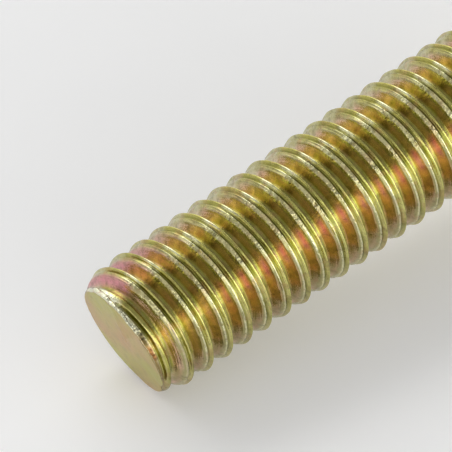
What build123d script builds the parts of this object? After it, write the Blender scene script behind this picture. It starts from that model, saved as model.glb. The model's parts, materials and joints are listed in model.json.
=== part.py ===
from build123d import *
import os
from math import atan2, ceil, cos, degrees, radians, sin, tan

# A stove bolt: slotted round head, short plain neck and a right-hand coarse thread, cold headed and rolled
# as one piece. Millimetres, +Z up. The bolt is made standing on its tip along +Z, then laid on its side as
# it comes to rest: the head lies towards +X, and the rim of the head and a crest near the tip touch the
# floor at z = 0.

# ---- Driving dimensions ----

# Shank and thread (5/16 in, 18 threads to the inch)
length = 31.75  # from under the head to the tip, 1-1/4 in
pitch = 25.4 / 18
crest_diameter = 7.9
thread_depth = 0.86  # from crest to root
root_diameter = crest_diameter - 2 * thread_depth
root_width = 0.2  # flat at the bottom of the groove
thread_angle = 60.0  # between the two flanks
thread_start = 18.0  # degrees that the thread is turned about the axis
runout_turns = 0.5  # the groove gets shallower over this part of a turn, next to the neck
groove_overcut = 0.12  # how far the groove's cutter stands out of the crests

# Tip, sheared off a little out of square
tip_diameter = 6.9
chamfer_angle = 25.0  # between the chamfer and the axis
shear_angle = 8.4
shear_direction = 127.0  # degrees about the axis, the side on which the tip is longest

# Neck
neck_step = 0.02  # how far the neck stands out of the crests
neck_diameter = crest_diameter + 2 * neck_step
neck_length = 1.3
neck_lead = 0.6  # length of the slight cone between the last crests and the neck
neck_fillet = 0.4

# Head
head_diameter = 14.6
head_height = 5.2
head_edge_radius = 0.35
slot_width = 2.0
slot_depth = 3.0
slot_direction = 168.0  # degrees about the axis

# How it lies
roll = 72.0  # degrees that the bolt has rolled about its own axis


# ---- Blank: what the header and the pointing tool leave, before the thread is rolled ----

def tip_slant():
    """How far the slanting cut rises or falls from the middle of the tip to its edge."""
    return tip_diameter / 2 * tan(radians(shear_angle))


def blank():
    """The bolt without thread and slot, turned about the Z axis from half of its outline."""
    crest = crest_diameter / 2
    neck = neck_diameter / 2
    head = head_diameter / 2
    taper = tan(radians(chamfer_angle))
    start = -2 * tip_slant()
    start_radius = tip_diameter / 2 + start * taper
    chamfer_top = (crest - tip_diameter / 2) / taper
    thread_top = length - neck_length
    rim = length + head_edge_radius
    quarter = 1 - cos(radians(45))
    with BuildSketch(Plane.XZ) as outline:
        with BuildLine():
            Polyline(
                (0, start),
                (start_radius, start),
                (crest, chamfer_top),
                (crest, thread_top - neck_lead),
                (neck, thread_top),
                (neck, length - neck_fillet),
            )
            ThreePointArc(
                (neck, length - neck_fillet),
                (neck + neck_fillet * quarter, length - neck_fillet * quarter),
                (neck + neck_fillet, length),
            )
            Line((neck + neck_fillet, length), (head - head_edge_radius, length))
            ThreePointArc(
                (head - head_edge_radius, length),
                (head - head_edge_radius * quarter, length + head_edge_radius * quarter),
                (head, rim),
            )
            # a round head's top is half an ellipse, upright where it meets the rim
            EllipticalCenterArc((0, rim), head, head_height - head_edge_radius, 0, arc_size=90)
            Line((0, length + head_height), (0, start))
        make_face()
    return revolve(outline.sketch, Axis.Z)


def sheared(bolt):
    """The tip cut off by a plane that leans over towards shear_direction."""
    lean = Rotation(0, 0, shear_direction) * Rotation(0, shear_angle, 0)
    return split(bolt, Plane(lean), keep=Keep.TOP)


# ---- Thread: a helical groove with straight flanks, one turn of the cutter at a time ----

def groove_section(radius):
    """Half the width of the groove at a radius."""
    return root_width / 2 + (radius - root_diameter / 2) * tan(radians(thread_angle / 2))


def cutter_walls(edges):
    """The four walls between the groove's four edges: floor, top and two flanks."""
    low_in, high_in, high_out, low_out = edges
    pairs = ((low_in, high_in), (high_in, high_out), (high_out, low_out), (low_out, low_in))
    return [Face.make_surface_from_curves(first, second) for first, second in pairs]


def cutter_end(edges, where):
    return Face(Wire.make_polygon([edge @ where for edge in edges], close=True))


def corners():
    """Radius and height of the cutter's four corners, in order round its section."""
    inner = root_diameter / 2
    outer = crest_diameter / 2 + groove_overcut
    return [
        (inner, -groove_section(inner)),
        (inner, groove_section(inner)),
        (outer, groove_section(outer)),
        (outer, -groove_section(outer)),
    ]


def groove(turns):
    """The cutter for whole and part turns, from one pitch below the tip."""
    count = ceil(turns)
    share = turns / count
    walls = []
    for index in range(count):
        step = Location((0, 0, (index * share - 1) * pitch), (0, 0, 360 * index * share))
        edges = [
            step * Pos(0, 0, height) * Edge.make_helix(pitch, share * pitch, radius)
            for radius, height in corners()
        ]
        walls += cutter_walls(edges)
        if index == 0:
            walls.append(cutter_end(edges, 0))
    walls.append(cutter_end(edges, 1))
    return Solid(Shell(walls))


def runout(turns):
    """The cutter's last part turn, which climbs out of the shank."""
    rise = crest_diameter / 2 + groove_overcut - root_diameter / 2
    steps = 8
    edges = []
    for radius, height in corners():
        points = []
        for step in range(steps + 1):
            turn = runout_turns * step / steps
            out = radius + rise * step / steps
            spin = 360 * (turns + turn)
            points.append(
                (
                    out * cos(radians(spin)),
                    out * sin(radians(spin)),
                    (turns + turn - 1) * pitch + height,
                )
            )
        edges.append(Edge.make_spline([Vector(*point) for point in points]))
    walls = cutter_walls(edges)
    return Solid(Shell(walls + [cutter_end(edges, 0), cutter_end(edges, 1)]))


def thread(bolt):
    """The groove cut round the shank, up to the neck."""
    outer_half = groove_section(crest_diameter / 2)
    turns = (length - neck_length - outer_half) / pitch + 1 - runout_turns
    spin = Rotation(0, 0, thread_start)
    return bolt - spin * groove(turns) - spin * runout(turns)


# ---- Head: the driver slot right across it ----

def slotted(bolt):
    across = 2 * head_diameter
    cutter = Box(across, slot_width, 2 * slot_depth)
    return bolt - Pos(0, 0, length + head_height) * Rotation(0, 0, slot_direction) * cutter


# ---- Bolt, laid down ----

def laid_down(bolt):
    """Roll the bolt, then lay it on its side, with the head's rim and the first full crest on the floor."""
    first_crest = (crest_diameter - tip_diameter) / 2 / tan(radians(chamfer_angle))
    drop = (head_diameter - crest_diameter) / 2
    rest_angle = degrees(atan2(drop, length + head_edge_radius - first_crest))
    bolt = Rotation(0, 90 - rest_angle, 0) * Rotation(0, 0, roll) * bolt
    box = bolt.bounding_box()
    return Pos(-box.center().X, -box.center().Y, -box.min.Z) * bolt


def make():
    os.makedirs("parts", exist_ok=True)
    bolt = laid_down(slotted(thread(sheared(blank()))))
    print("rest box", bolt.bounding_box())
    export_step(bolt, "parts/stove_bolt.step")


make()
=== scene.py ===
# %% [markdown]
# # A stove bolt in yellow-passivated zinc
#
# A stove bolt is a cheap bolt with a slotted round head. A header squeezes its blank to shape from cold
# wire, two grooved plates roll the thread into it, and a bath of zinc and chromate gives it a yellow skin.
# The rolling leaves a seam along every crest, and the skin shines in bands of olive, gold and red, because
# it is a very thin film. This file dresses the bolt's plain CAD solid: it keeps that solid's place and size
# and makes the surface anew.

import json
import math

import bmesh
import bpy
import numpy as np
from mathutils import Matrix, Vector


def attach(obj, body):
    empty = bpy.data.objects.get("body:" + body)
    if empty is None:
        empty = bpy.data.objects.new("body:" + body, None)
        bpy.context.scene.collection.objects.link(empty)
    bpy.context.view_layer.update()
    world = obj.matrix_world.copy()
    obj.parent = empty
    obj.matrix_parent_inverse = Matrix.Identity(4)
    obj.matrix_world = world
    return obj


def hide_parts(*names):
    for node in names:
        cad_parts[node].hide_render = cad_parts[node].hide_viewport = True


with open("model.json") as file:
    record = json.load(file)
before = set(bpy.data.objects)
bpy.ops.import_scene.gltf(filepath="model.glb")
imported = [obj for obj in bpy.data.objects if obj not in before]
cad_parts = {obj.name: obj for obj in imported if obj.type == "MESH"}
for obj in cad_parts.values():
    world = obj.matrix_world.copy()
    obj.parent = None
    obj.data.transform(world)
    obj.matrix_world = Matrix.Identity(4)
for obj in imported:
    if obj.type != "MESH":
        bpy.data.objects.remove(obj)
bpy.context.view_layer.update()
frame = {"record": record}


# %% [markdown]
# ## The bolt's own axes
#
# The bolt lies on its side, a little head-up, so nothing on it is square to the floor. It is much easier to
# make it standing on its tip, in millimetres, with z along its axis, and to lay it down at the end with one
# matrix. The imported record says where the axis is: the neck's mount is a point on it, with a direction.

# %% From bolt millimetres to the scene
MM = 0.001
LENGTH = 31.75  # from under the head to the tip
NECK_MIDDLE = LENGTH - 0.85  # height of the neck's mount above the tip

neck_mount = next(m for m in frame["record"]["mounts"] if m["name"] == "neck")
to_head = -Vector(neck_mount["axis"]).normalized()
sideways = Vector((0, 1, 0))
downward = sideways.cross(to_head)
tip_point = Vector(neck_mount["pos_m"]) - to_head * NECK_MIDDLE * MM


def laid_down(points):
    """Bolt points in mm (x, y, z) turned into scene points in metres."""
    axes = np.array([downward, sideways, to_head]) * MM
    return np.asarray(points) @ axes + np.array(tip_point)


print("middle of the tip, mm:", [round(1000 * x, 3) for x in tip_point])

# %% [markdown]
# ## Randomness that repeats
#
# Rolled metal is uneven in a smooth way. Two helpers make such unevenness from tables of random numbers with
# fixed seeds, so each run gives the same bolt: one along a line, such as the crest of the thread, and one in
# space.

# %% Smooth random values
TABLE = 8192  # random numbers in a table
FIRST_CELL = 1000  # the line's zero lies this far into the table
STRIDES = (7919, 104729, 1299709)  # primes that scatter the cells of space over the table


def eased(t):
    return t * t * (3 - 2 * t)


def wander(t, seed, step, layers=3):
    """A smooth random line with values from -1 to 1. Each layer has half the step and half the height."""
    total, heights = 0, 0
    for layer in range(layers):
        table = np.random.default_rng(seed * 101 + layer).uniform(-1, 1, TABLE)
        place = np.asarray(t) / step * 2**layer + FIRST_CELL
        cell = np.floor(place).astype(int)
        share = eased(place - cell)
        between = table[cell % TABLE] * (1 - share) + table[(cell + 1) % TABLE] * share
        total = total + between / 2**layer
        heights += 1 / 2**layer
    return total / heights


def lumps(points, seed, size):
    """Smooth random values from -1 to 1 in space, for points in mm, with lumps of a size in mm."""
    table = np.random.default_rng(seed).uniform(-1, 1, TABLE)
    place = np.asarray(points) / size
    cell = np.floor(place).astype(np.int64)
    share = eased(place - cell)
    total = 0
    for corner in np.ndindex(2, 2, 2):
        weight = np.prod(np.where(corner, share, 1 - share), axis=-1)
        entry = sum(axis * stride for axis, stride in zip(np.moveaxis(cell + corner, -1, 0), STRIDES))
        total = total + weight * table[entry % TABLE]
    return total


print("a line:", np.round(wander(np.arange(5) / 4, 1, 1.0), 2))

# %% [markdown]
# ## The thread's form
#
# The thread is a helix of grooves between two flanks. Where the rolling plates press the metal up, it rises
# in two lips that leave a seam between them. The leading lip, on the side of the tip, stays lower, and the
# other one leans over its flank and makes it steeper. Every point of the surface has a turn (how far along
# the helix it is) and a share of the pitch: 0 in the middle of a groove, about 0.5 on the crest. The radius
# is worked out from those two, first the groove, then the crest that limits it.

# %% Sizes of the thread, in mm
PITCH = 25.4 / 18
CREST = 3.97  # radius over the crests
DEPTH = 0.86
ROOT_FRONT, ROOT_BACK = 0.10, 0.22  # how far the groove's bottom reaches to each side
FLANK_FRONT = 1 / math.tan(math.radians(30))  # how fast the flank that faces the tip rises
FLANK_BACK = 1 / math.tan(math.radians(18))  # and the steeper one that faces the head
START_ANGLE = 113.0  # where the groove starts, in degrees from straight down
NECK = 3.97  # radius of the plain neck
NECK_LENGTH, NECK_LEAD = 1.3, 0.6
FILLET = 0.4  # between the neck and the head
NECK_END = LENGTH - FILLET
RUNOUT = 0.5  # the part of a turn in which the groove ends
TURNS = (LENGTH - NECK_LENGTH - NECK_LEAD) / PITCH + RUNOUT  # where that part turn begins
ROUND = 0.03  # how softly the groove's surfaces meet


def lower(a, b, blend):
    """The lower of two heights, rounded where they cross."""
    return -blend * np.logaddexp(-a / blend, -b / blend)


def higher(a, b, blend):
    """The higher of two heights, rounded where they cross."""
    return blend * np.logaddexp(a / blend, b / blend)


def bump(x, middle, width):
    """1 in the middle, falling like a bell over the width."""
    return np.exp(-(((x - middle) / width) ** 2))


def groove_radius(share, turn):
    """The radius of the groove's bottom and flanks. In the last part turn the groove climbs out."""
    climb = np.clip((turn - TURNS) / RUNOUT, 0, 1.5) * (DEPTH + 0.12)
    root = CREST - DEPTH + climb
    front = root + (share * PITCH - ROOT_FRONT) * FLANK_FRONT
    back = root + ((1 - share) * PITCH - ROOT_BACK) * FLANK_BACK
    return higher(root, np.where(share < 0.5, front, back), ROUND)


# %% The lips and the seam of the crest
FRONT_LIP, SEAM, BACK_LIP = 0.41, 0.51, 0.61  # their places, as shares of the pitch


def less_filled(turn):
    """The first turn is filled least: 1 at the tip, falling to 0."""
    return np.exp(-np.maximum(turn - 0.9, 0) / 0.8)


def crest_radius(share, turn, height):
    """The radius that the metal was pressed up to, with its two lips."""
    broken = np.clip(0.45 + 0.9 * wander(turn, 26, 0.11, 2), 0.1, 1)  # the leading lip is torn in places
    front = 0.036 * wander(turn, 14, 0.013, 2) * broken + 0.035 * wander(turn, 15, 0.04, 2)
    back = 0.016 * wander(turn, 16, 0.03, 2) + 0.012 * wander(turn, 17, 0.5)
    front_place = FRONT_LIP + 0.014 * wander(turn, 24, 0.06, 2)
    lean = 0.12 * np.clip((0.56 - share) / 0.15, 0, 1)  # the leading lip is the lower one
    slope = np.maximum(0.42 - share, 0)  # and it slopes down to the flank
    shoulder = (0.65 + 0.6 * wander(turn, 25, 0.035, 2)) * slope
    radius = CREST - 0.05 - lean - shoulder
    radius = radius + (0.035 + front) * bump(share, front_place, 0.024)
    radius = radius + (0.055 + back) * bump(share, BACK_LIP, 0.045)
    into_neck = np.clip((height - (NECK_END - 1.5)) / 0.6, 0, 1)
    return radius * (1 - into_neck) + NECK * into_neck


def below_neck(height, gap):
    """1 on the thread, falling to 0 at a gap in mm below the end of the neck."""
    return np.clip((NECK_END - gap - height) / 0.8, 0, 1)


def seam_cut(share, turn, height):
    """How deep the seam between the lips is."""
    place = SEAM + 0.022 * wander(turn, 11, 0.08, 3) + 0.03 * less_filled(turn)
    on_near_side = np.cos(2 * math.pi * turn + math.radians(START_ANGLE - 270))
    depth = 0.09 + 0.06 * wander(turn, 12, 0.05, 3) + 0.14 * less_filled(turn)
    width = 0.038 + 0.008 * on_near_side + 0.012 * wander(turn, 13, 0.12) + 0.008 * less_filled(turn)
    return np.maximum(depth, 0.02) * bump(share, place, width) * below_neck(height, NECK_LENGTH)


def flank_fold(share, turn, height):
    """A broken fold of metal that was smeared down the leading flank by the rolling plates."""
    place = 0.305 + 0.015 * wander(turn, 18, 0.2) + 0.008 * wander(turn, 19, 0.04, 2)
    size = 0.05 + 0.09 * wander(turn, 20, 0.025, 2)
    return np.maximum(size, 0) * bump(share, place, 0.024) * below_neck(height, 1.6)


# %% [markdown]
# ## The tip's form
#
# The blank was cut from wire by a shear before the thread was rolled. Its end leans over, the chamfer below
# it is uneven, and the shear has left two marks: on one side it smeared the first groove shut, and on
# another it nicked the edge.

# %% Sizes of the tip, in mm, and the whole shank
TIP_RADIUS = 3.42
CHAMFER = math.tan(math.radians(25))
SHEAR = math.tan(math.radians(11.5))
SHEAR_ANGLE = 205.0  # the side on which the tip is longest
END_DROP = 0.08  # how far the middle of the end lies past the nominal length
SMEARED_SIDE = 1.7  # in radians, like the other angles round the shank
NICK_SIDE, NICK_WIDTH, NICK_DEPTH = math.radians(79), math.radians(5), 0.20


def chamfer_radius(height, angle):
    """The radius of the uneven cone at the tip."""
    wobble = 0.02 * wander(np.sin(angle) * 2 + 3, 21, 0.9) + 0.02 * wander(np.cos(angle) * 2 + 9, 22, 0.9)
    smeared = 0.05 * bump(np.cos(angle - math.radians(90)), 1, 0.3)  # metal dragged over the far side
    return TIP_RADIUS + wobble + smeared + CHAMFER * np.maximum(height, -1.5)


def end_height(radius, angle):
    """The height of the sheared end at a radius and an angle."""
    return -END_DROP - SHEAR * radius * np.cos(angle - math.radians(SHEAR_ANGLE))


def near_end(height, angle, full, fade):
    """1 next to the sheared end, falling to 0 at full * fade mm above it."""
    return np.clip(full - (height - end_height(TIP_RADIUS, angle)) / fade, 0, 1)


def shank_radius(share, turn, height, angle):
    """The radius of the shank at a share of the pitch, a turn, a height in mm and an angle in radians."""
    nearest = np.where(share > 0.5, turn + 1, turn)
    radius = groove_radius(share, nearest) + flank_fold(share, turn, height)
    radius = lower(radius, crest_radius(share, turn, height), 0.02)
    chamfer = chamfer_radius(height, angle)
    radius = lower(radius, chamfer, ROUND) - seam_cut(share, turn, height)
    closed = near_end(height, angle, 1.3, 0.35) * np.clip(2 * np.cos(angle - SMEARED_SIDE), 0, 1)
    radius = radius + (chamfer - radius) * closed
    radius = radius - NICK_DEPTH * bump(angle, NICK_SIDE, NICK_WIDTH) * near_end(height, angle, 1.2, 0.4)
    around = np.stack([CREST * np.cos(angle), CREST * np.sin(angle), height], -1)
    return radius + 0.010 * lumps(around, 31, 0.9) + 0.005 * lumps(around, 32, 0.3)


for name, place in (("groove", 0.0), ("front lip", FRONT_LIP), ("seam", SEAM), ("back lip", BACK_LIP)):
    print(f"radius at the {name}:", round(float(shank_radius(place, 8.0, (7 + place) * PITCH, 0.0)), 2))

# %% [markdown]
# ## A mesh that follows the helix
#
# A lathe mesh has rings, and a thread cuts across them, which makes its crests look like saw teeth. Here the
# rows of the mesh follow the thread instead: a row that has gone once round the bolt joins the row one pitch
# further up. So the seam and the lips stay crisp with few points. The rows are closest on the crest, where
# the detail is, and the columns on the side that faces up.

# %% Rows and columns
LIP_ROWS = [0.27, 0.288, 0.304, 0.322, 0.345, 0.368, 0.386, 0.402, 0.42, 0.44, 0.46, 0.478, 0.494, 0.51, 0.526]
BACK_ROWS = [0.545, 0.568, 0.59, 0.61, 0.63, 0.65, 0.675, 0.72, 0.78, 0.83, 0.91]
ROWS = np.array([0, 0.06, 0.12, 0.20, *LIP_ROWS, *BACK_ROWS])
UPSIDE = math.radians(218)  # the side that faces up and forward
HALF_FINE = 96  # degrees to each side of it that get close columns
fine = np.linspace(-HALF_FINE, HALF_FINE, 97)[:-1]
coarse = np.linspace(HALF_FINE, 360 - HALF_FINE, 37)[:-1]
COLUMNS = UPSIDE + np.radians(np.concatenate([fine, coarse]))
per_turn, columns = len(ROWS), len(COLUMNS)

# the turn is counted from the groove's start, and the grid reaches past both ends of the shank
first_turn = (COLUMNS[0] - math.radians(START_ANGLE)) / (2 * math.pi)
whole = np.arange(-1, 24)
row_turn = np.repeat(whole, per_turn)
row_share = np.tile(ROWS, len(whole))
column_turn = (COLUMNS - COLUMNS[0]) / (2 * math.pi)
turn = first_turn + row_turn[:, None] + column_turn[None, :]
share = np.broadcast_to(row_share[:, None], turn.shape)
height = (turn - 1 + share) * PITCH
angle = np.broadcast_to(COLUMNS[None, :], turn.shape)
radius = shank_radius(share, turn, height, angle)
print("grid:", turn.shape, "height", height.min().round(2), "to", height.max().round(2))

# %% [markdown]
# ## Cutting the grid
#
# The grid starts below the tip and ends above the neck. Each column is cut where it meets the sheared end,
# and again at the neck's top: points past a cut are all the cut's own point. Faces whose corners fall
# together lose them. The cut at the tip lies a little above the flat end, because the edge between them is
# rounded, and more so on the side where the shear pressed hardest.

# %% Where the shank meets the sheared end
MARGIN = 0.012  # points closer than this to a cut are left out, in mm
HARDEST = math.radians(150)
RIM = 0.05 + 0.20 * np.clip(np.cos(COLUMNS - HARDEST), 0, 1) ** 2  # rounding of the tip's edge, by column


def column_turns(column_angle):
    """How far the helix has turned at the columns, without whole turns."""
    return (column_angle - math.radians(START_ANGLE)) / (2 * math.pi)


def rim_of(column_angle, shift):
    """Radius and height of the shank's surface where it meets the sheared end, raised by a shift."""
    edge_radius = np.full_like(column_angle, TIP_RADIUS)
    for _ in range(6):
        edge_height = end_height(edge_radius, column_angle) + shift
        pitches = edge_height / PITCH + 1
        since = pitches - column_turns(column_angle)
        edge_share = since - np.floor(since)
        edge_radius = shank_radius(edge_share, pitches - edge_share, edge_height, column_angle)
    return edge_radius, edge_height


column_number = np.arange(columns)
burr = 0.035 * wander(column_number, 41, 2.2, 2) + 0.03 * wander(column_number, 42, 9.0, 2)
low_radius, low_height = rim_of(COLUMNS, RIM + burr)
cut_low = height < low_height + MARGIN
cut_high = height > NECK_END - MARGIN
kept = ~(cut_low | cut_high)
print("points kept:", kept.sum(), "of", kept.size)

# %% A helper that collects the mesh
MARKS = ("share", "turn", "thread", "end")  # what each point knows about its place


def ring_points(ring_radius, ring_height, ring_angle):
    x, y = ring_radius * np.cos(ring_angle), ring_radius * np.sin(ring_angle)
    return np.stack(np.broadcast_arrays(x, y, ring_height), -1)


class Builder:
    """Collects points and faces. Rings are arrays of point numbers."""

    def __init__(self):
        self.points, self.faces, self.marks = [], [], []
        self.count = 0

    def add(self, new_points, **marks):
        """Adds points with their marks, 0 where none is given, and returns their numbers."""
        new_points = np.asarray(new_points, float).reshape(-1, 3)
        numbers = np.arange(self.count, self.count + len(new_points))
        self.points.append(new_points)
        row = np.zeros((len(new_points), len(MARKS)))
        for place, name in enumerate(MARKS):
            row[:, place] = marks.get(name, 0.0)
        self.marks.append(row)
        self.count += len(new_points)
        return numbers

    def quads(self, a, b, c, d):
        """Faces from four arrays of corners. A corner that repeats its neighbour is left out."""
        for face in zip(a.ravel().tolist(), b.ravel().tolist(), c.ravel().tolist(), d.ravel().tolist()):
            corners = [p for i, p in enumerate(face) if p != face[i - 1]]
            if len(set(corners)) == len(corners) and len(corners) > 2:
                self.faces.append(corners)

    def band(self, below, above):
        """Joins two closed rings with as many points, the lower one first, seen from outside."""
        self.quads(below, np.roll(below, -1), np.roll(above, -1), above)


bolt = Builder()
print("marks:", MARKS)

# %% The shank
NEAR_RIM = 0.22  # mm over which the mark of the rim fades
RIM_MARK, LOW_RING_MARK = 0.38, 0.45  # steps on the way to 1, the mark of the flat end
END_SHARE = 0.3  # the end has no thread, so all its points have this share of the pitch

rim_mark = RIM_MARK * bump(height, low_height, NEAR_RIM)[kept]
number = -np.ones(turn.shape, dtype=int)
number[kept] = bolt.add(
    ring_points(radius[kept], height[kept], angle[kept]),
    share=share[kept], turn=turn[kept], thread=1.0, end=rim_mark,
)
end_turn = 1 + column_turns(COLUMNS)
low_ring = bolt.add(
    ring_points(low_radius, low_height, COLUMNS), share=END_SHARE, turn=end_turn, thread=1.0, end=LOW_RING_MARK
)
high_ring = bolt.add(ring_points(np.full(columns, NECK), NECK_END, COLUMNS))
number = np.where(cut_low, low_ring[None, :], number)
number = np.where(cut_high, high_ring[None, :], number)

# the row that has gone once round is the row one pitch up
beyond = np.concatenate([number[per_turn:, 0], np.repeat(high_ring[0], per_turn)])
wrapped = np.concatenate([number, beyond[:, None]], axis=1)
bolt.quads(wrapped[:-1, :-1], wrapped[:-1, 1:], wrapped[1:, 1:], wrapped[1:, :-1])
print("shank:", bolt.count, "points,", len(bolt.faces), "faces")

# %% [markdown]
# ## The sheared end
#
# The end is flat and slightly rough. Rings of points go in from the edge to the middle. The outer ones
# follow a quarter circle over the rounded edge, and the first few also carry its burr.

# %% Rings over the sheared end
INWARD = (0.994, 0.982, 0.965, 0.94, 0.9, 0.84, 0.76, 0.66, 0.54, 0.4, 0.26, 0.12)  # shares of the radius
BURR_RINGS = 3
BEVELLED = 0.04  # from this drop on, in mm, a ring counts fully as edge

outer_ring = low_ring
for step, inward in enumerate(INWARD):
    ring_radius = low_radius * inward
    deep = np.maximum(RIM - (low_radius - ring_radius), 0)
    bevel = RIM - np.sqrt(RIM ** 2 - deep ** 2)  # a quarter circle over the edge
    flat = end_height(ring_radius, COLUMNS)
    rough = ring_points(ring_radius, flat, COLUMNS)
    flat = flat + 0.012 * lumps(rough, 51, 0.8) + 0.008 * lumps(rough, 52, 0.3)
    flat = flat + 0.9 * burr * max(0, 1 - step / BURR_RINGS) + bevel
    end_mark = 1 - (1 - LOW_RING_MARK) * np.clip(bevel / BEVELLED, 0, 1)
    ring = bolt.add(
        ring_points(ring_radius, flat, COLUMNS), share=END_SHARE, turn=end_turn, thread=1.0, end=end_mark
    )
    bolt.band(ring, outer_ring)
    outer_ring = ring
middle = bolt.add([[0, 0, end_height(0, 0)]], share=END_SHARE, turn=1.0, thread=1.0, end=1.0)
bolt.quads(np.repeat(middle, columns), np.roll(outer_ring, -1), outer_ring, outer_ring)
print("with the end:", len(bolt.faces), "faces")

# %% [markdown]
# ## The head
#
# The head is a flattened dome on a short rim, with a slot right across it. A slot is hard to cut into rings,
# so the dome is a loaf of slices instead, which run along the slot. Slices on either side of the slot follow
# the dome, the ones inside it drop to its floor, and a few close together round its edges. The slices meet
# the rim, and a ring of triangles on the flat underside joins the rim to the neck, because the two have
# different numbers of points.

# %% Fillet
def quarter(share):
    """How far along and how far across a quarter circle of radius 1 has gone at a share of its way."""
    bend = share * math.pi / 2
    return math.sin(bend), 1 - math.cos(bend)


for share_of_bend in (0.35, 0.7, 1.0):
    along, out = quarter(share_of_bend)
    ring = bolt.add(ring_points(np.full(columns, NECK + FILLET * out), NECK_END + FILLET * along, COLUMNS))
    bolt.band(high_ring, ring)
    high_ring = ring
print("with the fillet:", len(bolt.faces), "faces")

# %% Places of the dome's slices, across the slot
HEAD = 7.3  # radius
HEAD_HEIGHT = 5.2
EDGE = 0.35  # rounding of the rim
DOME = HEAD_HEIGHT - EDGE
RIM_HEIGHT = LENGTH + EDGE
SLOT_HALF, SLOT_DEPTH = 1.0, 3.0
SLOT_FLOOR = LENGTH + HEAD_HEIGHT - SLOT_DEPTH
SLOT_ANGLE = math.radians(60)
SOFT = 0.14  # how far the slot's edges are rounded
SLICE_ANGLES = (68, 58, 49, 41, 34, 28, 23, 18, 14, 11)  # degrees from the middle of the dome

# each slice has its place across the slot, and its drop from the dome
half = [(HEAD, 0), *((HEAD * math.sin(math.radians(angle)), 0) for angle in SLICE_ANGLES)]
for share_of_bend in (0, 0.25, 0.5, 0.75, 1):  # round the slot's edge
    along, down = quarter(share_of_bend)
    half.append((SLOT_HALF + SOFT * (1 - along), SOFT * down))
half += [(SLOT_HALF, SOFT + 0.1), (SLOT_HALF, -0.1), (SLOT_HALF, -0.02)]  # down its wall
half += [(SLOT_HALF - 0.06, -0.001), (SLOT_HALF - 0.2, None), (SLOT_HALF * 0.5, None), (0, None)]  # its floor
across = [(-y, drop) for y, drop in half] + [(y, drop) for y, drop in half[-2::-1]]
print("slices:", len(across))


# %% The dome's slices
def slice_points(y, drop, steps=56):
    """One slice from end to end. A negative drop counts up from the floor, and None is the floor itself."""
    beta = math.asin(min(1, max(-1, y / HEAD)))
    alpha = np.linspace(-math.pi / 2, math.pi / 2, steps + 1)
    x = HEAD * math.cos(beta) * np.sin(alpha)
    top = RIM_HEIGHT + DOME * math.cos(beta) * np.cos(alpha)
    floor = np.minimum(top, SLOT_FLOOR)
    if drop is None:
        z = floor
    elif drop < 0:
        z = np.minimum(top, SLOT_FLOOR - drop)
    else:
        z = np.maximum(top - drop, floor)
    return np.stack([x, np.full_like(x, y), z], -1)


cosine, sine = math.cos(SLOT_ANGLE), math.sin(SLOT_ANGLE)
along_slot = np.array([[cosine, sine, 0], [-sine, cosine, 0], [0, 0, 1]])
slices = []
for y, drop in across:
    line = slice_points(y, drop)
    if abs(y) == HEAD:
        line = np.array([[0, y, RIM_HEIGHT]])  # the outermost slice is a point
    line = line @ along_slot
    line[:, 2] += 0.01 * lumps(line, 61, 1.6) * (line[:, 2] > RIM_HEIGHT + 0.3)
    slices.append(bolt.add(line))
per_slice = len(slices[1])
slices[0], slices[-1] = np.repeat(slices[0], per_slice), np.repeat(slices[-1], per_slice)
for one, other in zip(slices[:-1], slices[1:]):
    bolt.quads(one[:-1], one[1:], other[1:], other[:-1])
print("with the dome:", len(bolt.faces), "faces")

# %% The rim, and the ring that joins it to the neck
left = [line[0] for line in slices]
right = [line[-1] for line in slices]
rim_ring = np.array(right + left[-2:0:-1])
everything = np.concatenate(bolt.points)
rim_angle = np.arctan2(everything[rim_ring, 1], everything[rim_ring, 0])
for share_of_bend in (0.3, 0.65, 1.0):
    down, inward = quarter(share_of_bend)
    rim_radius = np.full(len(rim_ring), HEAD - EDGE * inward)
    ring = bolt.add(ring_points(rim_radius, RIM_HEIGHT - EDGE * down, rim_angle))
    bolt.band(ring, rim_ring)
    rim_ring = ring


def joined(inner_ring, inner_angle, outer_ring, outer_angle):
    """Triangles between two rings on one plane, each step taken on the ring that is behind."""
    inner_angle, outer_angle = np.unwrap(inner_angle), np.unwrap(outer_angle)
    outer_angle = outer_angle + 2 * math.pi * round((inner_angle[0] - outer_angle[0]) / (2 * math.pi))
    start = int(np.argmin(np.abs(outer_angle - inner_angle[0])))
    outer_ring = np.roll(outer_ring, -start)
    outer_angle = np.concatenate([outer_angle[start:], outer_angle[:start] + 2 * math.pi])
    inner_angle = np.append(inner_angle, inner_angle[0] + 2 * math.pi)
    outer_angle = np.append(outer_angle, outer_angle[0] + 2 * math.pi)
    i = o = 0
    n, m = len(inner_ring), len(outer_ring)
    while i < n or o < m:
        if o == m or (i < n and inner_angle[i + 1] <= outer_angle[o + 1]):
            bolt.faces.append([inner_ring[i % n], inner_ring[(i + 1) % n], outer_ring[o % m]])
            i += 1
        else:
            bolt.faces.append([inner_ring[i % n], outer_ring[(o + 1) % m], outer_ring[o % m]])
            o += 1


joined(high_ring, COLUMNS, rim_ring, rim_angle)
print("whole bolt:", bolt.count, "points,", len(bolt.faces), "faces")

# %% [markdown]
# ## The mesh and its marks
#
# The marks travel with the mesh as attributes, and the material reads them. The share of the pitch jumps
# from 1 to 0 in the middle of each groove, and a jump can't be blended across a face. So it is stored as the
# hand of a clock, by its sine and cosine, with the turn as the third number.

# %% Make the mesh
WELD, COLLAPSE = 2e-7, 1e-7  # in metres

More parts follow.
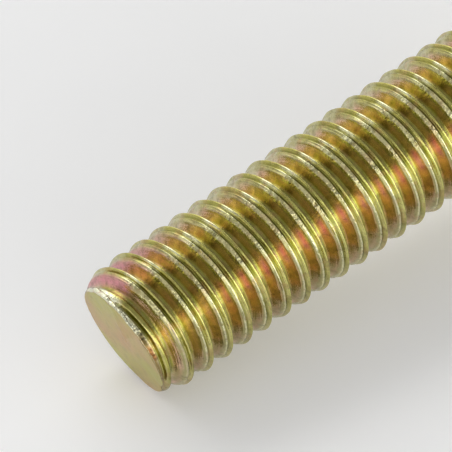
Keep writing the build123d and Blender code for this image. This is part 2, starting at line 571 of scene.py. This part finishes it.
marks = dict(zip(MARKS, np.concatenate(bolt.marks).T))
mesh = bpy.data.meshes.new("bolt_skin")
mesh.from_pydata(laid_down(np.concatenate(bolt.points)).tolist(), [], [list(map(int, f)) for f in bolt.faces])
for name in ("thread", "end"):
    layer = mesh.attributes.new(name, "FLOAT", "POINT")
    layer.data.foreach_set("value", marks[name].astype(np.float32))
clock = mesh.attributes.new("clock", "FLOAT_VECTOR", "POINT")
swing = 2 * math.pi * marks["share"]
hands = np.stack([np.sin(swing), np.cos(swing), marks["turn"]], -1)
clock.data.foreach_set("vector", hands.astype(np.float32).ravel())
mesh.validate()

work = bmesh.new()
work.from_mesh(mesh)
bmesh.ops.remove_doubles(work, verts=work.verts, dist=WELD)
bmesh.ops.dissolve_degenerate(work, edges=work.edges, dist=COLLAPSE)
bmesh.ops.triangulate(work, faces=[f for f in work.faces if len(f.verts) > 4])
open_edges = sum(1 for e in work.edges if len(e.link_faces) != 2)
volume = work.calc_volume(signed=True)
work.to_mesh(mesh)
work.free()
mesh.shade_smooth()
skin = bpy.data.objects.new("bolt_skin", mesh)
bpy.context.scene.collection.objects.link(skin)
triangles = sum(len(f.vertices) - 2 for f in mesh.polygons)
print("triangles", triangles, "open edges", open_edges, "volume mm3", round(volume / MM**3, 1))
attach(skin, "root")
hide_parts("stove_bolt")

# %% [markdown]
# ## Shader maths in Python
#
# A material is a net of nodes. It is easier to read as a formula, so a small class wraps a socket of a node,
# and adding or multiplying two of them puts in the node that does it. Numbers use Math nodes. Colours are
# blended by a Mix node, because a Math node would turn them grey. All other nodes come from one method.

# %% Nodes as formulas
class Shade:
    """A socket that can be added, multiplied and so on."""

    def __init__(self, net, socket):
        self.net, self.socket = net, socket

    def maths(self, operation, *values):
        return self.net.node("ShaderNodeMath", {"operation": operation}, values)

    def __add__(self, other):
        return self.maths("ADD", self, other)

    def __radd__(self, other):
        return self.maths("ADD", other, self)

    def __sub__(self, other):
        return self.maths("SUBTRACT", self, other)

    def __rsub__(self, other):
        return self.maths("SUBTRACT", other, self)

    def __mul__(self, other):
        return self.maths("MULTIPLY", self, other)

    def __rmul__(self, other):
        return self.maths("MULTIPLY", other, self)

    def __truediv__(self, other):
        return self.maths("DIVIDE", self, other)

    def __rtruediv__(self, other):
        return self.maths("DIVIDE", other, self)

    def fraction(self):
        return self.maths("FRACT", self)

    def cosine(self):
        return self.maths("COSINE", self)

    def angle_with(self, other):
        """The angle that has this as its sine and the other as its cosine, at some scale."""
        return self.maths("ARCTAN2", self, other)

    def part(self, place):
        """One of the three numbers of a vector."""
        return self.net.node("ShaderNodeSeparateXYZ", {}, [self], place)

    def rise(self, start, end):
        """0 below the start, 1 above the end, and eased between."""
        settings = {"interpolation_type": "SMOOTHSTEP"}
        return self.net.node("ShaderNodeMapRange", settings, [self, start, end, 0.0, 1.0])

    def peak(self, middle, width):
        """1 at the middle, falling to 0 at a width on both sides."""
        return 1 - self.maths("ABSOLUTE", self - middle).rise(0.0, width)


class Net:
    """The nodes of one material or world."""

    def __init__(self, owner):
        owner.use_nodes = True
        self.tree = owner.node_tree
        self.tree.nodes.clear()

    def node(self, kind, settings=None, values=(), out=0):
        """A node with its settings, and with values or links for its sockets, by number or by name."""
        made = self.tree.nodes.new(kind)
        for name, value in (settings or {}).items():
            if name == "stops":
                for place, colour in value[1:-1]:
                    made.color_ramp.elements.new(place)
                for element, (place, colour) in zip(made.color_ramp.elements, value):
                    element.position, element.color = place, (*colour, 1)
            else:
                setattr(made, name, value)
        for name, value in values.items() if isinstance(values, dict) else enumerate(values):
            if isinstance(value, Shade):
                self.tree.links.new(value.socket, made.inputs[name])
            else:
                made.inputs[name].default_value = value
        return Shade(self, made.outputs[out]) if made.outputs else None

    def mix(self, share, first, second):
        """A colour between two colours."""
        first, second = ((*c, 1) if isinstance(c, tuple) else c for c in (first, second))
        return self.node("ShaderNodeMix", {"data_type": "RGBA"}, {0: share, 6: first, 7: second}, 2)

    def ramp(self, stops, where):
        """A colour that goes through stops: pairs of a place from 0 to 1 and a colour."""
        return self.node("ShaderNodeValToRGB", {"stops": stops}, [where])

    def mark(self, name, kind="Fac"):
        """One of the marks that travel with the mesh."""
        return self.node("ShaderNodeAttribute", {"attribute_name": name}, (), kind)

    def noise(self, size, where=None, detail=2.0, rough=0.5, shift=0.0):
        """Cloudy values around 0.5, with a size in mm, or in the units of a place vector."""
        if where is None:
            where, scale = self.node("ShaderNodeTexCoord", {}, (), "Object"), 1 / (size * MM)
        else:
            scale = 1 / size
        if shift:
            offset = (shift, shift * 0.7, -shift)
            where = self.node("ShaderNodeVectorMath", {"operation": "ADD"}, [where, offset])
        values = {"Vector": where, "Scale": scale, "Detail": detail, "Roughness": rough}
        return self.node("ShaderNodeTexNoise", {}, values)


def tone(red, green, blue):
    """A colour as it looks on a screen, from 0 to 1, as the amounts of light that a shader needs."""
    return tuple(c / 12.92 if c < 0.04045 else ((c + 0.055) / 1.055) ** 2.4 for c in (red, green, blue))


print("mid grey:", [round(c, 3) for c in tone(0.5, 0.5, 0.5)])

# %% [markdown]
# ## Yellow-passivated zinc
#
# The zinc is bright metal, and the film on it is a few hundred nanometres thick. Light that is reflected
# above and below the film interferes, so the colour follows the film's thickness, and that follows how the
# bath ran along the groove: yellow green at the bottom, then gold, orange and brown or rose red up the
# leading flank, and pale where the crest's lips are rubbed thin. It also differs from side to side, because
# bolts lie against each other in the barrel while the film grows. A thin-film setting on the shader does not
# show on a metal, so the colours are placed with a ramp along the share of the pitch, moved a little by
# noise so that no band is straight, and then washed over side by side. Some of these washes are the film's
# own tints. Others are painted light: painted highlights on the lips and edges that face the bright strips
# of the room, a painted reflection of the floor on the lower side, and painted shade where the thread
# mirrors dark parts of the room.

# %% Where a point is on the thread
zinc = bpy.data.materials.new("yellow_zinc")
net = Net(zinc)
hand = net.mark("clock", "Vector")
on_thread = net.mark("thread")
nearness = net.mark("end")
on_end = nearness.rise(0.5, 0.95)
on_rim = nearness.rise(0.05, 0.33) * (1 - on_end)
below_edge = nearness.rise(0.05, 0.20) * (1 - nearness.rise(0.40, 0.45))
exact_share = (hand.part(0).angle_with(hand.part(1)) / (2 * math.pi)).fraction()
along_turn = hand.part(2)


def side(degrees):
    """1 on the side of the bolt at an angle, -1 on the opposite side."""
    return (along_turn * (2 * math.pi) + math.radians(START_ANGLE - degrees)).cosine()


print("nodes for the places:", len(net.tree.nodes))

# %% Unevenness of several sizes
wide_clouds = net.noise(5.0, detail=2.0, shift=0.047)
clouds = net.noise(1.6, detail=3.0)
blots = net.noise(0.7, detail=2.0, shift=0.113)
patches = net.noise(0.45, detail=3.0, shift=0.013)
chips = net.noise(0.22, detail=2.0, shift=0.071)
grain = net.noise(0.12, detail=3.0, rough=0.65, shift=0.031)
streak_place = net.node("ShaderNodeCombineXYZ", {}, [exact_share * 9, along_turn * 1.2, 0.0])
streaks = net.noise(0.25, where=streak_place, detail=3.0)
moved_share = exact_share + (clouds - 0.5) * 0.12 + (patches - 0.5) * 0.05 + (streaks - 0.5) * 0.05
print("with the noises:", len(net.tree.nodes))

# %% Colours along the share of the pitch
brown_film = net.ramp([
    (0.00, tone(0.62, 0.61, 0.28)),
    (0.06, tone(0.68, 0.65, 0.31)),
    (0.12, tone(0.88, 0.73, 0.54)),
    (0.22, tone(0.92, 0.77, 0.68)),
    (0.30, tone(0.70, 0.67, 0.48)),
    (0.41, tone(0.70, 0.68, 0.43)),
    (0.50, tone(0.66, 0.65, 0.34)),
    (0.60, tone(0.74, 0.71, 0.40)),
    (0.72, tone(0.75, 0.74, 0.40)),
    (0.85, tone(0.70, 0.72, 0.36)),
    (1.00, tone(0.62, 0.61, 0.28)),
], moved_share)
red_film = net.ramp([
    (0.00, tone(0.61, 0.63, 0.29)),
    (0.06, tone(0.72, 0.67, 0.32)),
    (0.12, tone(0.75, 0.55, 0.49)),
    (0.20, tone(0.77, 0.48, 0.68)),
    (0.25, tone(0.82, 0.60, 0.62)),
    (0.30, tone(0.62, 0.60, 0.44)),
    (0.41, tone(0.68, 0.67, 0.42)),
    (0.50, tone(0.70, 0.69, 0.34)),
    (0.60, tone(0.78, 0.79, 0.40)),
    (0.70, tone(0.80, 0.78, 0.42)),
    (0.82, tone(0.82, 0.76, 0.48)),
    (0.92, tone(0.68, 0.67, 0.31)),
    (1.00, tone(0.61, 0.63, 0.29)),
], moved_share)


def washed(below, *washes):
    """A colour with others washed over it: pairs of an amount and a colour, the last one on top."""
    for amount, colour in washes:
        below = net.mix(amount, below, colour)
    return below


print("with the ramps:", len(net.tree.nodes))

# %% [markdown]
# The angles of the sides count from straight down: the far side is at 90 degrees, the top at 180 and the
# front at 270. On each side the leading flank has its own colour: a darker olive on top, which is painted
# shade, rose red towards the front, a bright gold below that, which is a painted reflection of the floor,
# and a darker olive again on the underside, which is painted shade too. Its top edge is pale in chips,
# partly wear and partly a painted highlight on the upper side.

# %% The leading flank
redder = (side(243.0) + (clouds - 0.5) * 0.12).rise(0.93, 0.99) * along_turn.rise(1.0, 6.0) * 0.85
rose_spots = redder * clouds.rise(0.44, 0.58) * exact_share.peak(0.21, 0.08)
flank = exact_share.peak(0.16, 0.20)
# Painted reflection of the floor: the leading flank is a brighter gold on the lower front side.
gold_floor_reflection = side(261.0).rise(0.95, 0.99) * exact_share.peak(0.18, 0.20) * along_turn.rise(1.5, 5.0)
# The shoulder is pale in chips on the upper half only: partly wear, partly a painted highlight.
shoulder = exact_share.rise(0.20, 0.30) * (1 - exact_share.rise(0.42, 0.48)) * side(200.0).rise(0.88, 0.96)
# Paler still on the side that faces up: partly wear, partly a painted highlight.
facing_up = side(204.0).rise(0.97, 0.995)
rubbed_and_highlight = exact_share.rise(0.21, 0.29) * (1 - exact_share.rise(0.43, 0.48)) * facing_up

film = washed(
    brown_film,
    # Painted shade: the leading flank is a darker olive on the top side.
    (side(182.0).rise(0.96, 0.995) * flank * 0.9, tone(0.49, 0.40, 0.22)),
    (redder, red_film),
    (rose_spots * 0.6, tone(0.82, 0.42, 0.46)),
    (gold_floor_reflection * 0.85, tone(1.00, 0.76, 0.50)),
    # Painted shade: the leading flank is a darker olive on the underside.
    (side(294.0).rise(0.93, 0.99) * flank * 0.85, tone(0.58, 0.52, 0.26)),
    (shoulder * (0.15 + 0.85 * chips.rise(0.42, 0.56)), tone(0.82, 0.81, 0.63)),
    (rubbed_and_highlight * (0.4 + 0.6 * chips.rise(0.35, 0.5)) * 0.8, tone(0.97, 0.93, 0.70)),
)
print("with the flank:", len(net.tree.nodes))

# %% The two lips and the seam, with painted highlights on the lips and painted shade in the seam
# The lips are pale where they are rubbed thin, and paler on the front, which is a painted highlight.
front_lip_and_highlight = exact_share.peak(0.395, 0.05) * side(264.0).rise(0.60, 0.92) * chips.rise(0.26, 0.44)
back_lip_and_highlight = exact_share.peak(0.615, 0.05) * (0.25 + 0.65 * side(250.0).rise(0.50, 0.90))
lips = front_lip_and_highlight + back_lip_and_highlight
first_turn_lips = lips * (1 - along_turn.rise(1.6, 2.1))
# Painted highlight: the crest and its lips are pale on the top side.
top_lip_highlight = exact_share.peak(0.60, 0.16) + exact_share.peak(0.41, 0.06) * 0.6
top_lip_highlight = top_lip_highlight * side(178.5).rise(0.98, 0.998)
seam = exact_share.peak(0.50, 0.05)

film = washed(
    film,
    (front_lip_and_highlight, tone(0.97, 0.96, 0.80)),
    (back_lip_and_highlight, tone(0.95, 0.95, 0.58)),
    (first_turn_lips * 0.6, tone(0.66, 0.57, 0.42)),
    # Painted highlight: the crest between the lips is pale on the front side.
    (side(258.0).rise(0.90, 0.98) * exact_share.peak(0.54, 0.10) * 0.7, tone(0.97, 0.94, 0.64)),
    (top_lip_highlight, tone(0.96, 0.96, 0.78)),
    # Painted shade: the seam between the lips is darkened.
    (seam * 0.65, tone(0.46, 0.46, 0.20)),
)
print("with the lips:", len(net.tree.nodes))

# %% Painted reflection underneath and at the top edge, painted shade on the low crest, and blots
# Painted reflection: all but the leading flank is paler on the underside, where the metal mirrors the floor at
# a grazing angle.
underneath = side(308.0).rise(0.84, 0.99) * (1 - exact_share.peak(0.22, 0.20))
# Painted shade: the back of the crest is darker on the lower front side.
low_crest_shade = side(285.0).rise(0.93, 0.99) * exact_share.rise(0.56, 0.64)

film = washed(
    film,
    (underneath * (0.2 + 0.4 * clouds), tone(0.88, 0.85, 0.68)),
    # Painted reflection at the top edge: a greyer olive and a pale wash, where the metal mirrors the room at a
    # grazing angle.
    (side(128.0).rise(0.90, 1.0) * 0.5, tone(0.66, 0.62, 0.38)),
    (side(118.0).rise(0.86, 0.95) * 0.45, tone(0.90, 0.90, 0.78)),
    (low_crest_shade * 0.6, tone(0.60, 0.58, 0.30)),
    (blots.rise(0.48, 0.66) * side(145.0).rise(0.35, 0.85) * 0.35, tone(0.70, 0.65, 0.33)),
    ((1 - blots.rise(0.32, 0.52)) * 0.35, tone(0.74, 0.56, 0.42)),
)
print("with the blots:", len(net.tree.nodes))

# %% The tip: rose on its first turns, a rim with painted highlight and shade, a dark patch and an orange stain below it
first_turns = (1 - along_turn.rise(2.0, 5.5)) * (side(150.0) + clouds).rise(0.2, 0.9)
rose = first_turns * exact_share.peak(0.22, 0.22) * (1 - side(215.0).rise(0.78, 0.93))
# The rim is pale in chips where it is worn. Its paler upper side is a painted highlight, and its darker lower
# side is painted shade.
rim_highlight_side = side(170.0).rise(0.45, 0.75)

film = washed(
    film,
    (rose * 0.85, tone(0.84, 0.56, 0.60)),
    (on_rim * (0.4 + 0.6 * chips.rise(0.30, 0.5)) * rim_highlight_side, tone(0.94, 0.94, 0.82)),
    (on_rim * (1 - rim_highlight_side) * 0.8, tone(0.58, 0.48, 0.29)),
    # A dark patch just below the edge on the side facing up and forward, and an orange stain below it.
    (below_edge * side(229.0).rise(0.985, 0.998) * 0.85, tone(0.26, 0.22, 0.12)),
    (below_edge * side(246.0).rise(0.985, 0.998) * 0.80, tone(0.56, 0.36, 0.20)),
)
print("with the tip:", len(net.tree.nodes))

# %% The smooth faces of the head and the end, and dark patches, fewest on the end and the up and front sides
head_clouds = wide_clouds * 0.65 + clouds * 0.35
head_colour = net.mix(head_clouds.rise(0.40, 0.62), tone(0.71, 0.68, 0.37), tone(0.75, 0.61, 0.42))
end_colour = net.mix(wide_clouds.rise(0.4, 0.65), tone(0.75, 0.73, 0.44), tone(0.79, 0.66, 0.50))
# Dark patches from noise, fewer on the end, on the red front and on the side that faces up, and more on the
# thread.
dark_patches = (1 - patches.rise(0.26, 0.54)) * 0.38 + (1 - grain.rise(0.3, 0.5)) * 0.3
dark_patch_amount = (1 - on_end * 0.6) * (1 - redder * 0.6) * (1 - facing_up * 0.5) * (0.4 + 0.6 * on_thread)

film = washed(head_colour, (on_thread, film), (on_end, end_colour), (dark_patches * dark_patch_amount, tone(0.36, 0.32, 0.15)))
print("with the dirt:", len(net.tree.nodes))

# %% Shine and fine unevenness
DENT = 0.00005  # height of the bumps in metres

roughness = 0.10 + 0.09 * patches + 0.07 * grain + seam * 0.2 + shoulder * 0.1 + on_end * 0.22
chipped = chips * (shoulder + lips * 0.35 + on_rim * 0.6) * 2.5
dents = patches * 0.5 + grain * 0.3 + streaks * 0.4 + chipped
bumps = net.node("ShaderNodeBump", {}, {"Strength": 0.6, "Distance": DENT, "Height": dents})
shader = net.node("ShaderNodeBsdfPrincipled", {}, {
    "Base Color": film, "Metallic": 1.0, "Roughness": roughness, "Normal": bumps,
})
net.node("ShaderNodeOutputMaterial", {}, [shader])
skin.data.materials.append(zinc)
print("nodes in the zinc:", len(net.tree.nodes))

# %% [markdown]
# ## Floor, room and lamp
#
# Metal shows what is round it, so the room matters more than the lamp. The room here is only a pattern of
# light and dark on the sky, which runs along the bolt: from the near horizon, over the top, to the far one.
# A bright strip near the front horizon gives the bright band along the bolt. It is dim overhead, which keeps
# the upper side of the thread dark, and a second strip, far and high, lights the tops of the crests. The far
# left, which the leading flanks mirror, is dim too. One weak, wide lamp on the far side gives the soft
# shadow. The floor is a plain pale sheet. A small glow, which only the camera and the metal see, lifts it to
# the paleness of paper.

# %% Floor
FLOOR_HALF = 1.5  # in metres
GLOW = 0.15

floor_mesh = bpy.data.meshes.new("floor")
corners = [(x * FLOOR_HALF, y * FLOOR_HALF, 0) for x, y in ((-1, -1), (1, -1), (1, 1), (-1, 1))]
floor_mesh.from_pydata(corners, [], [(0, 1, 2, 3)])
floor = bpy.data.objects.new("floor", floor_mesh)
bpy.context.scene.collection.objects.link(floor)
paper = bpy.data.materials.new("pale_paper")
net = Net(paper)
paper_grain = net.noise(6.0, detail=4.0)
paper_tone = net.mix(paper_grain.rise(0.3, 0.7), tone(0.95, 0.95, 0.95), tone(0.955, 0.955, 0.955))
camera_ray, glossy_ray, clear_ray = (
    net.node("ShaderNodeLightPath", {}, (), f"Is {kind} Ray") for kind in ("Camera", "Glossy", "Transmission")
)
glow = net.mix(camera_ray + glossy_ray + clear_ray, (0.0, 0.0, 0.0), (GLOW, GLOW, GLOW))
matt = net.node("ShaderNodeBsdfPrincipled", {}, {
    "Base Color": paper_tone,
    "Roughness": 0.9,
    "Specular IOR Level": 0.2,
    "Emission Color": glow,
    "Emission Strength": 1.0,
})
net.node("ShaderNodeOutputMaterial", {}, [matt])
floor_mesh.materials.append(paper)
print("nodes in the paper:", len(net.tree.nodes))

# %% Room
ROOM_LIGHT = 2.45
PALE = {  # place from 0 at the near horizon, over the top, to 1 at the far one: how pale the room is
    0.00: 1.00, 0.085: 1.00, 0.11: 0.84, 0.14: 0.57, 0.17: 0.33, 0.22: 0.18, 0.30: 0.16, 0.59: 0.16,
    0.66: 0.17, 0.70: 0.34, 0.73: 1.00, 0.765: 1.00, 0.80: 0.64, 0.86: 0.46, 1.00: 0.40,
}

room = bpy.data.worlds.new("room")
bpy.context.scene.world = room
net = Net(room)
look = net.node("ShaderNodeTexCoord", {}, (), "Generated")
to_right, to_back, up = look.part(0), look.part(1), look.part(2)
over_bolt = up.angle_with(0 - to_back) / math.pi
walls = net.ramp([(place, (pale, pale, pale)) for place, pale in PALE.items()], over_bolt)
far_left = to_back.rise(0.0, 0.5) * (1 - to_right.rise(-0.75, -0.30))
walls = net.mix(far_left * 0.9, walls, (0.20, 0.20, 0.20))
light = net.node("ShaderNodeBackground", {}, {"Color": walls, "Strength": ROOM_LIGHT})
net.node("ShaderNodeOutputWorld", {}, [light])
print("nodes in the room:", len(net.tree.nodes))


# %% The lamp: a wide soft box on the far side
def soft_box(name, direction, distance, long_side, short_side, power, colour):
    """A lamp that is not seen itself, with its long side along the bolt. It lies in a direction from it."""
    data = bpy.data.lights.new(name, "AREA")
    data.shape, data.size, data.size_y = "RECTANGLE", long_side, short_side
    data.energy, data.color = power, colour
    lamp = bpy.data.objects.new(name, data)
    bpy.context.scene.collection.objects.link(lamp)
    direction = Vector(direction).normalized()
    along = (to_head - direction * to_head.dot(direction)).normalized()
    turned = Matrix((along, direction.cross(along), direction)).transposed().to_4x4()
    lamp.matrix_world = Matrix.Translation(tip_point + to_head * 10 * MM + direction * distance) @ turned
    lamp.visible_camera = False
    return lamp


far_window = soft_box("far_window", (0.30, 0.72, 0.62), 1.0, 0.8, 0.7, 0.8, (1.0, 1.0, 1.0))
print("lamp:", far_window.name, "at", [round(x, 2) for x in far_window.location])

# %% [markdown]
# ## Camera
#
# The camera looks at the tip from its own side, down and along the bolt, with a very long lens from a good
# way off, so the bolt hardly narrows with distance. The head is past the picture's edge.

# %% Set up the camera
DISTANCE = 0.380  # from the tip, in metres
AZIMUTH, ELEVATION = math.radians(-40.855), math.radians(41.909)
TIP_LEFT, TIP_BELOW = 5.494 * MM, 6.102 * MM  # where the tip is, from the middle of the view

away = Vector(
    (math.sin(AZIMUTH) * math.cos(ELEVATION), -math.cos(AZIMUTH) * math.cos(ELEVATION), math.sin(ELEVATION))
)
right_hand = Vector((math.cos(AZIMUTH), math.sin(AZIMUTH), 0))
upward = away.cross(right_hand)
camera_place = tip_point + right_hand * TIP_LEFT + upward * TIP_BELOW + away * DISTANCE
turned = Matrix((right_hand, upward, away)).transposed().to_4x4()
camera = bpy.data.objects.new("camera", bpy.data.cameras.new("camera"))
camera.data.lens = 557.5
camera.data.sensor_width = 36
camera.data.clip_start, camera.data.clip_end = 0.01, 20
camera.matrix_world = Matrix.Translation(camera_place) @ turned
bpy.context.scene.collection.objects.link(camera)
bpy.context.scene.camera = camera
bpy.context.scene.view_settings.view_transform = "Standard"
print("camera at, mm:", [round(1000 * x, 1) for x in camera_place])
